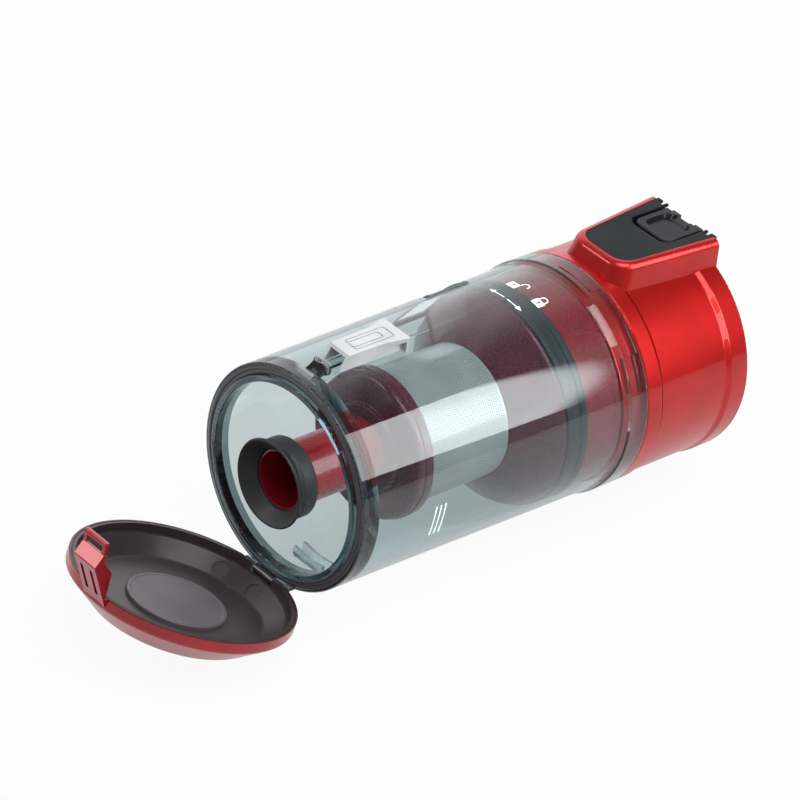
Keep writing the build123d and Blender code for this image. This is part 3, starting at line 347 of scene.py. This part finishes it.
steel = moulded("steel", (0.48, 0.48, 0.49), (0.60, 0.60, 0.61), (0.22, 0.38), grain=2200.0, Metallic=1.0)
screen_steel = moulded("screen_steel", (0.43, 0.44, 0.425), (0.50, 0.51, 0.495), (0.18, 0.26), grain=1800.0,
                       Metallic=0.4)
paper = moulded("paper", (0.70, 0.69, 0.64), (0.80, 0.79, 0.75), (0.80, 0.95), grain=2400.0, bump=0.3)
foam_grey = moulded("foam_grey", (0.03, 0.03, 0.033), (0.06, 0.06, 0.064), (0.85, 1.0), grain=900.0, bump=0.9)
# White print that glows faintly: painted light, so it stays bright where little lamp light falls on it.
glowing_white_ink = moulded("glowing_white_ink", (0.86, 0.87, 0.87), (0.92, 0.93, 0.93), (0.40, 0.55),
                    Emission_Color=(1, 1, 1, 1), Emission_Strength=0.35)


def painted_shade_lip(source):
    """Cup's plastic with painted shade: its colour is darker in the thick lip."""
    half = lip_depth / 2
    reach = (half, 2 * cup_r, 2 * cup_r)
    return two_tone("cup_smoke_lip_shade", source, (lip_x + half, 0, 0), reach, (0.32, 0.38, 0.42))


def brown_hinge(source):
    """Lid's red, brown on the knuckle of the hinge."""
    knuckle_r, knuckle_half = 4.6, 12.0
    reach = (knuckle_r, knuckle_half, knuckle_r)
    return two_tone("lid_red", source, (hinge_x, 0, hinge_z), reach, (0.045, 0.032, 0.035))


def pocket_painted_shade(source):
    """Head's red, with painted shade in the button's pocket: near black there."""
    gap, depth = 1.2, 14.0
    low, high = (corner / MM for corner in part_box("release_button"))
    panel_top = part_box("top_panel")[1].z / MM
    pocket_low = Vector((low.x - gap, low.y - gap, panel_top - depth))
    pocket_high = Vector((high.x + gap, high.y + gap, panel_top))
    middle = (pocket_low + pocket_high) / 2
    return two_tone("head_red_pocket_shade", source, middle, pocket_high - middle, (0.012, 0.012, 0.014))


cad_materials = {
    "dust_cup": painted_shade_lip(smoke),
    "hinge_pin": steel,
    "latch_button": silver,
    "lid_shell": brown_hinge(lid_red_shaded),
    "lid_liner": brown_plastic,
    "lid_clip": lid_red_shaded,
    "head_housing": pocket_painted_shade(red_gloss),
    "top_panel": slate_plastic,
    "release_button": black_gloss,
    "fine_dust_tube": red_satin,
    "skirt": shaded_red_satin,
    "screen_frame": grey_plastic,
    "shroud_cone": shaded_red_satin,
    "neck_ring": red_satin,
    "cyclone_funnel": grey_plastic,
    "vortex_finder": grey_plastic,
    "unit_screws": steel,
    "filter_frame": black_gloss,
}
for name, material in cad_materials.items():
    nodes[name].data.materials.clear()
    nodes[name].data.materials.append(material)


# Rubber rings turned on the cup's axis. Each outline has corners (x, radius, rounding).

def ring_box(node):
    """Front, rear and outside radius of a node turned on the cup's axis, in millimetres."""
    low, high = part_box(node)
    return low.x / MM, high.x / MM, high.z / MM


def rubber_boot():
    """Boot on the end of the fine dust tube, with a flared mouth."""
    tube_front, _, tube_r = ring_box("fine_dust_tube")
    front, rear, mouth_r = ring_box("tube_boot")
    boot_r = 19.6
    waist_dip = 0.7             # dip between the boot and its bell
    bell_start, bell_end = front + 4.6, front + 6.4
    edge, edge_run, bell_wall = 0.6, 1.0, 1.6
    bore_r, bore_run = tube_r - 0.7, 1.2
    outline = rounded([
        (rear, tube_r, 0.3), (rear, boot_r, 1.2),
        (bell_end, boot_r, 2.0), (bell_start, boot_r - waist_dip, 1.5),
        (front + edge_run, mouth_r, 0.6), (front, mouth_r - edge, 0.4),
        (front + edge, mouth_r - bell_wall, 0.4), (tube_front - bore_run, bore_r, 1.2),
        (tube_front, bore_r, 0.0), (tube_front, tube_r, 0.0)])
    turned("rubber_boot", outline, "head", "black_rubber", black_rubber, "tube_boot")


def lip_ring():
    """Ring in the groove of the cup's lip, with a fine notch along its face."""
    front, rear, outer_r = ring_box("lip_seal")
    groove_r, notch = 49.4, 0.5
    middle_r = (outer_r + groove_r) / 2
    outline = rounded([
        (rear, groove_r, 0.0), (rear, outer_r, 0.0), (front, outer_r, 0.8), (front, middle_r + notch, 0.2),
        (front + notch, middle_r, 0.2), (front, middle_r - notch, 0.2), (front, groove_r, 0.8)])
    turned("lip_ring", outline, "cup", "charcoal_rubber", charcoal_rubber, "lip_seal")


def cyclone_ring():
    """Seal between the shroud and the cup: two ribs with a shallow groove between them."""
    front, rear, outer_r = ring_box("cyclone_seal")
    sleeve_r, groove_r = outer_r - 4.4, outer_r - 0.7
    rib = (rear - front) / 3
    first, second = front + rib, rear - rib
    outline = rounded([
        (front, sleeve_r, 0.0), (front, outer_r, 1.0), (first, outer_r, 0.6), (first, groove_r, 0.2),
        (second, groove_r, 0.2), (second, outer_r, 0.6), (rear, outer_r, 1.0), (rear, sleeve_r, 0.0)])
    turned("cyclone_ring", outline, "head", "black_rubber", seal_rubber, "cyclone_seal")


def motor_gasket():
    """Flat ring in the rear socket, with a notch along its face."""
    front, rear, outer_r = ring_box("socket_gasket")
    bore_r, middle_r = outer_r - 6.0, outer_r - 3.0
    notch_half, notch = 0.6, 0.8
    outline = rounded([
        (front, bore_r, 0.0), (front, outer_r, 0.0), (rear, outer_r, 0.8), (rear, middle_r + notch_half, 0.4),
        (rear - notch, middle_r, 0.3), (rear, middle_r - notch_half, 0.4), (rear, bore_r, 0.8)])
    turned("motor_gasket", outline, "head", "black_rubber", black_rubber, "socket_gasket")


rubber_boot()
lip_ring()
cyclone_ring()
motor_gasket()


# Lid: soft disc, and a dark bead along the rim

def lid_disc():
    """Soft disc with a low raised rim."""
    low, high = (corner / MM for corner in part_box("lid_pad"))
    place = Matrix.Translation((low + high) / 2) @ lid_axes
    radius, half = high.y, 0.95
    rim_step, rim_foot, rim_top = 0.2, 2.2, 1.8
    face = half - rim_step
    outline = rounded([
        (-half, axis_bore, 0.0), (face, axis_bore, 0.0), (face, radius - rim_foot, 0.4),
        (half, radius - rim_top, 0.3), (half, radius, 0.7), (-half, radius, 0.0)])
    turned("lid_disc", outline, "lid", "grey_rubber", grey_disc, "lid_pad", place)


def rim_bead():
    """Bead along the rim, open where the hinge is."""
    rim_ahead = 2.2             # rim plane ahead of the hinge pin
    inner_r, outer_r = 53.3, 54.3
    bottom, top = -0.38, -0.05  # from the rim plane
    reach = radians(328.0)
    centre = Matrix.Translation((hinge_x, 0, hinge_z)) @ lid_axes @ Vector((rim_ahead, 0, -hinge_z))
    outline = rounded([(bottom, inner_r, 0.0), (top, inner_r, 0.0),
                       (top, outer_r, 0.1), (bottom, outer_r, 0.0)], steps=3)
    mesh = lathe("rim_bead", outline, Matrix.Translation(centre) @ lid_axes, reach=reach)
    piece("rim_bead", mesh, "lid", brown_plastic)


lid_disc()
rim_bead()


# Filter: foam disc and pleated paper

def foam_disc():
    """Foam disc with soft edges."""
    front, rear, outer_r = ring_box("filter_foam")
    outline = rounded([(rear, axis_bore, 0.0), (rear, outer_r, 1.2),
                       (front, outer_r, 1.6), (front, axis_bore, 0.0)])
    disc = turned("foam_disc", outline, "head", "foam", foam_grey, "filter_foam")


def pleated_paper():
    """Zigzag sheet cut round to the filter's bore, with rounded folds."""
    front, rear, outer_r = ring_box("filter_media")
    pleats, fold_steps, thickness = 16, 6, 0.8
    edge = 0.995                # outermost line, as a share of the radius
    middle, swing = (front + rear) / 2, (rear - front - thickness) / 2
    lines = []
    for i in range(pleats * fold_steps + 1):
        across = edge * (2 * i / (pleats * fold_steps) - 1)
        phase = (i / fold_steps) % 1.0
        zigzag = 1 - 4 * abs(phase - 0.5)
        fold = (sin(zigzag * pi / 2) + zigzag) / 2
        lines.append((middle + swing * fold, across * outer_r, outer_r * sqrt(1 - across * across)))
    points, faces = [], []
    for side in (-0.5, 0.5):
        for x, y, half in lines:
            points += [(x + side * thickness, y, -half), (x + side * thickness, y, half)]
    count = len(lines)
    for i in range(count - 1):
        a, b = 2 * i, 2 * (count + i)
        faces += [(a, a + 1, a + 3, a + 2), (b, b + 2, b + 3, b + 1)]
        faces += [(a, a + 2, b + 2, b), (a + 1, b + 1, b + 3, a + 3)]
    for i in (0, count - 1):
        faces.append((2 * i, 2 * (count + i), 2 * (count + i) + 1, 2 * i + 1))
    mesh = mesh_from("pleated_paper", points, faces)
    piece("pleated_paper", mesh, "head", paper, ["filter_media"])


foam_disc()
pleated_paper()


# Springs

def coil(name, node, body, axis, turns):
    """Wound spring in the space of its CAD node, along the axis named by its index."""
    wire, steps_per_turn = 0.25, 24
    low, high = (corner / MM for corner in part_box(node))
    middle = (low + high) / 2
    aside, other = [i for i in range(3) if i != axis]
    radius = min(high[aside] - low[aside], high[other] - low[other]) / 2 - wire
    start, run = low[axis] + wire, high[axis] - low[axis] - 2 * wire
    path = []
    steps = steps_per_turn * turns
    for i in range(steps + 1):
        turn = 2 * pi * turns * i / steps
        point = middle.copy()
        point[axis] = start + run * i / steps
        point[aside] += radius * cos(turn)
        point[other] += radius * sin(turn)
        path.append(point)
    spring = piece(name, tube(name, path, wire), body, steel, [node])
    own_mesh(spring)


coil("latch_coil", "latch_spring", "cup", axis=0, turns=8)
coil("button_coil", "button_spring", "head", axis=2, turns=4)


# Perforated screen

def perforated_screen():
    """Rolled sheet with staggered round holes, each with its own short wall."""
    front, rear, outer_r = ring_box("mesh_screen")
    pitch, hole_r, depth, border = 1.25, 0.38, 0.5, 1.4
    hole_taper = 0.92
    sides = 8
    columns = int(2 * pi * outer_r / pitch)
    rows = int((rear - front - 2 * border) / pitch)
    step = (rear - front - 2 * border) / rows
    points, faces = [], []

    def on_sheet(row, column, radius):
        """Point on the sheet, counted in rows and columns."""
        turn = 2 * pi * column / columns
        return (front + border + row * step, radius * sin(turn), radius * cos(turn))

    for row in range(rows):
        for column in range(columns):
            start = len(points)
            shift = 0.5 * (row % 2)
            for radius, reach in ((outer_r, None), (outer_r, hole_r), (outer_r - depth, hole_r * hole_taper)):
                for side in range(sides):
                    turn = 2 * pi * side / sides
                    u, v = cos(turn), sin(turn)
                    scale = 0.5 / max(abs(u), abs(v)) if reach is None else reach / pitch
                    points.append(on_sheet(row + 0.5 + u * scale, column + 0.5 + shift + v * scale, radius))
            for ring in range(2):
                for side in range(sides):
                    a, b = start + ring * sides + side, start + ring * sides + (side + 1) % sides
                    faces.append((a, b, b + sides, a + sides))
    for edge, inner in ((front, front + border), (rear, rear - border)):
        start = len(points)
        for column in range(columns):
            turn = 2 * pi * column / columns
            for x, radius in ((edge, outer_r - depth), (edge, outer_r), (inner, outer_r)):
                points.append((x, radius * sin(turn), radius * cos(turn)))
        for column in range(columns):
            for j in range(2):
                a, b = start + 3 * column + j, start + 3 * ((column + 1) % columns) + j
                faces.append((a, b, b + 1, a + 1))
    mesh = mesh_from("perforated_screen", points, faces, weld=0.005)
    piece("perforated_screen", mesh, "head", screen_steel, ["mesh_screen"], crease=50.0)


perforated_screen()


# Rubber frame round the air inlet, a bead that follows the cup's round wall

def inlet_frame():
    """Bead along a rounded rectangle on the wall of the cup."""
    inlet_k, inlet_turn = 120.4, radians(50.0)
    half_length, half_width, corner, corner_steps = 12.0, 19.0, 2.0, 6
    bead_half, bead_foot, bead_top, bead_round = 0.9, -0.75, 0.7, 0.6
    section = rounded([(-bead_half, bead_foot, 0.0), (bead_half, bead_foot, 0.0),
                       (bead_half, bead_top, bead_round), (-bead_half, bead_top, bead_round)], steps=3)
    path = []
    for quarter, (su, sw) in enumerate(((1, 1), (-1, 1), (-1, -1), (1, -1))):
        for step in range(corner_steps + 1):
            turn = pi / 2 * (quarter + step / corner_steps)
            path.append((su * (half_length - corner), sw * (half_width - corner), cos(turn), sin(turn)))
    points = []
    for u0, w0, along, aside in path:
        for offset, lift in section:
            u, w = u0 + along * (corner + offset), w0 + aside * (corner + offset)
            radius = cup_surface(inlet_k + u) + lift
            height = sqrt(radius * radius - w * w)
            points.append((lip_x + inlet_k + u, height * sin(inlet_turn) + w * cos(inlet_turn),
                           height * cos(inlet_turn) - w * sin(inlet_turn)))
    mesh = mesh_from("inlet_frame", points, row_quads(len(path), len(section), len(path)))
    piece("inlet_frame", mesh, "cup", grey_rubber, ["inlet_gasket"])


inlet_frame()


# Marks printed on the cup. A print is drawn flat in millimetres, along the axis and round the wall.

def print_on_cup(name, k, angle, shapes):
    """White print at a station and an angle from the top to the camera's side; shapes are lists of points."""
    ink_lift = 0.04             # off the wall
    points, faces = [], []
    for shape in shapes:
        start = len(points)
        for along, around in shape:
            radius = cup_surface(k + along) + ink_lift
            turn = radians(angle) + around / radius
            points.append((lip_x + k + along, -radius * sin(turn), radius * cos(turn)))
        faces.append(tuple(range(start, len(points))))
    piece(name, mesh_from(name, points, faces), "cup", glowing_white_ink)


def block(k0, k1, side0, side1):
    """Rectangle from k0 to k1 along the axis and from side0 to side1 round the wall."""
    return [(k0, side0), (k1, side0), (k1, side1), (k0, side1)]


def arc(centre, radius, start, end, steps=14):
    """Points on an arc, angles in degrees from the along direction."""
    turns = [radians(start + (end - start) * i / steps) for i in range(steps + 1)]
    return [(centre[0] + radius * cos(t), centre[1] + radius * sin(t)) for t in turns]


def lock_mark(name, angle, shift):
    """Padlock: a body with a keyhole left open, and a shackle that is closed or swung aside by shift."""
    lock_k = 139.4
    half, length = 2.8, 4.7
    key_half, slot_half, key_start, key_neck, key_end = 0.75, 0.32, 0.9, 2.6, 3.7
    inner, outer, lift, open_gap = 1.45, 2.1, 1.5, 0.5
    body = [block(0, length, -half, -key_half), block(0, length, key_half, half),
            block(0, key_start, -key_half, key_half), block(key_end, length, -key_half, key_half),
            block(key_start, key_neck, -key_half, -slot_half),
            block(key_start, key_neck, slot_half, key_half)]
    centre = (length + lift, shift)
    inside, outside = arc(centre, inner, -90, 90), arc(centre, outer, -90, 90)
    shackle = [(inside[i], inside[i + 1], outside[i + 1], outside[i]) for i in range(len(inside) - 1)]
    free_foot = length + open_gap if shift else length
    legs = [block(foot, centre[0], shift + side * inner, shift + side * outer)
            for side, foot in ((-1, length), (1, free_foot))]
    print_on_cup(name, lock_k, angle, body + shackle + legs)


def arrow_mark():
    """Arrow round the wall with a head at both ends and a gap in the middle."""
    arrow_k, arrow_angle = 130.2, -0.6
    half, shaft_half, gap_half = 9.4, 0.28, 0.9
    head_half, head_tip, head_back = 1.5, 1.6, 1.7
    shaft = [block(-shaft_half, shaft_half, -half, -gap_half), block(-shaft_half, shaft_half, gap_half, half)]
    heads = [[(0.0, side * (half + head_tip)), (head_half, side * (half - head_back)),
              (-head_half, side * (half - head_back))] for side in (-1, 1)]
    print_on_cup("print_arrow", arrow_k, arrow_angle, shaft + heads)


def level_lines():
    """Three lines round the wall that say how full the cup may be."""
    line_k, line_angle = 49.4, 97.0
    half, reach, spacing = 0.42, 8.8, 2.8
    lines = [block(k - half, k + half, -reach, reach) for k in (-spacing, 0.0, spacing)]
    print_on_cup("print_level_lines", line_k, line_angle, lines)


lock_mark("print_lock_closed", angle=9.6, shift=0.0)
lock_mark("print_lock_open", angle=-8.0, shift=4.6)
arrow_mark()
level_lines()


# Studio

def floor_white():
    """Matt white that the camera sees as white; what swings below it is still seen and lit."""
    albedo, roughness, glare = 0.56, 0.8, 1.15
    white_shares = (("Is Camera Ray", 0.94), ("Is Glossy Ray", 0.5), ("Is Transmission Ray", 0.1))
    material, tree, shader = new_material("floor_white")
    shader.inputs["Base Color"].default_value = (albedo, albedo, albedo, 1)
    shader.inputs["Roughness"].default_value = roughness
    rays = tree.nodes.new("ShaderNodeLightPath")
    white_share = 0.0
    for kind, share in white_shares:
        weighed = calculate(tree, "MULTIPLY", rays.outputs[kind], share)
        white_share = calculate(tree, "MAXIMUM", white_share, weighed)
    glow = tree.nodes.new("ShaderNodeEmission")
    feed(tree, glow.inputs["Strength"], stretch(tree, rays.outputs["Is Glossy Ray"], 0.0, 1.0, 1.0, glare))
    clear = tree.nodes.new("ShaderNodeBsdfTransparent").outputs["BSDF"]
    white = mix_shaders(tree, rays.outputs["Is Camera Ray"], glow.outputs["Emission"], clear)
    surface = mix_shaders(tree, white_share, shader.outputs["BSDF"], white)
    underside = tree.nodes.new("ShaderNodeNewGeometry").outputs["Backfacing"]
    lamp_below = calculate(tree, "MULTIPLY", rays.outputs["Is Shadow Ray"], underside)
    surface = mix_shaders(tree, lamp_below, surface, clear)
    tree.links.new(surface, tree.nodes["Material Output"].inputs["Surface"])
    return material


def floor_plane():
    """Slope and height at x = 0 of the plane that touches the lid and the head from below."""
    rounds = 6
    lid_points = [v.co for v in nodes["lid_shell"].data.vertices]
    head_points = [v.co for v in nodes["head_housing"].data.vertices]
    slope = 0.0
    for _ in range(rounds):
        low_lid = min(lid_points, key=lambda p: p.z - slope * p.x)
        low_head = min(head_points, key=lambda p: p.z - slope * p.x)
        slope = (low_head.z - low_lid.z) / (low_head.x - low_lid.x)
    return slope, low_head.z - slope * low_head.x


def pale_floor():
    """Round table top under the lid and the head."""
    reach, centre_x, sides = 1.15, -0.12, 96
    slope, height = floor_plane()
    corners = []
    for i in range(sides):
        turn = 2 * pi * i / sides
        x = centre_x + reach * cos(turn)
        corners.append((x, reach * sin(turn), height + slope * x))
    mesh = bpy.data.meshes.new("floor")
    mesh.from_pydata(corners, [], [tuple(range(sides))])
    mesh.materials.append(floor_white())
    floor = bpy.data.objects.new("floor", mesh)
    bpy.context.scene.collection.objects.link(floor)


def white_room():
    """World: white to the camera and low down through glass, else dim with a bright backdrop."""
    world = bpy.data.worlds.new("studio")
    bpy.context.scene.world = world
    world.use_nodes = True
    tree = world.node_tree
    sight = tree.nodes.new("ShaderNodeTexCoord").outputs["Generated"]

    def lobe(direction, start, end, base, peak):
        """Strength that goes from base to peak towards a direction."""
        facing = calculate_vector(tree, "DOT_PRODUCT", sight, Vector(direction).normalized(), "Value")
        return stretch(tree, facing, start, end, base, peak, "SMOOTHSTEP")

    ambient = lobe((-0.85, -0.35, 0.40), start=-0.2, end=0.9, base=0.05, peak=0.30)
    backdrop = lobe((0.45, 0.85, 0.30), start=0.42, end=0.99, base=0.0, peak=1.5)
    through = lobe((0.0, 0.0, 1.0), start=0.1, end=0.4, base=1.0, peak=0.45)
    rays = tree.nodes.new("ShaderNodeLightPath")
    lighting = calculate(tree, "ADD", ambient, backdrop)
    strength = mix_values(tree, rays.outputs["Is Transmission Ray"], lighting, through, "FLOAT")
    strength = mix_values(tree, rays.outputs["Is Camera Ray"], strength, 1.0, "FLOAT")
    background = tree.nodes["Background"]
    background.inputs["Color"].default_value = (1, 1, 1, 1)
    tree.links.new(strength, background.inputs["Strength"])


def softbox(name, place, aim, width, height, power, roll=0.0):
    """Area lamp that faces a point; it lights and is mirrored, but isn't in the picture."""
    lamp = bpy.data.lights.new(name, "AREA")
    lamp.shape = "RECTANGLE"
    lamp.size = width
    lamp.size_y = height
    lamp.energy = power
    thing = bpy.data.objects.new(name, lamp)
    bpy.context.scene.collection.objects.link(thing)
    facing = (Vector(aim) - Vector(place)).to_track_quat("-Z", "Y").to_matrix().to_4x4()
    thing.matrix_world = Matrix.Translation(place) @ facing @ Matrix.Rotation(roll, 4, "Z")
    thing.visible_camera = False
    return lamp


def fade_across(lamp, start, end):
    """Makes a lamp fade out between two shares of its width."""
    lamp.use_nodes = True
    tree = lamp.node_tree
    split = tree.nodes.new("ShaderNodeSeparateXYZ")
    tree.links.new(tree.nodes.new("ShaderNodeNewGeometry").outputs["Parametric"], split.inputs["Vector"])
    fade = stretch(tree, split.outputs["X"], start, end, 1.0, 0.0, "SMOOTHSTEP")
    tree.links.new(fade, tree.nodes["Emission"].inputs["Strength"])


def lamps():
    """Soft light from above, a small lamp behind the lid, and one whose mirror image streaks the cup."""
    cup_middle, lid_middle = (-0.12, 0.0, 0.0), (-0.357, 0.0, 0.0)
    side_x, side_y, side_z = 0.335, -0.62, 0.657
    softbox("top_softbox", (-0.3, -0.45, 1.2), cup_middle, width=1.0, height=0.9, power=13.0)
    softbox("rear_softbox", (-1.12, 0.68, 0.62), lid_middle, width=0.35, height=0.35, power=3.0)
    side = softbox("side_softbox", (side_x, side_y, side_z), (side_x, 0.0, side_z), width=0.45, height=1.02,
                   power=8.8, roll=radians(-22.0))
    fade_across(side, start=0.90, end=1.0)


def photo_camera():
    """Camera at the photograph's distance, angles and focal length, for an 800 x 800 image."""
    image_side, sensor, focal_px = 800, 36.0, 4760.6
    azimuth, elevation, roll = radians(-46.88), radians(33.15), radians(9.44)
    distance, target = 2.2, Vector((-0.1762, 0.0, 0.0199))
    back = Vector((sin(azimuth) * cos(elevation), -cos(azimuth) * cos(elevation), sin(elevation)))
    level = Vector((cos(azimuth), sin(azimuth), 0.0))
    upright = back.cross(level)
    right = level * cos(roll) + upright * sin(roll)
    up = upright * cos(roll) - level * sin(roll)
    data = bpy.data.cameras.new("camera")
    data.sensor_width = sensor
    data.lens = focal_px / image_side * sensor
    camera = bpy.data.objects.new("camera", data)
    bpy.context.scene.collection.objects.link(camera)
    turned = Matrix((right, up, back)).transposed().to_4x4()
    camera.matrix_world = Matrix.Translation(target + back * distance) @ turned
    bpy.context.scene.camera = camera


pale_floor()
white_room()
lamps()
photo_camera()
bpy.context.scene.view_settings.view_transform = "Standard"
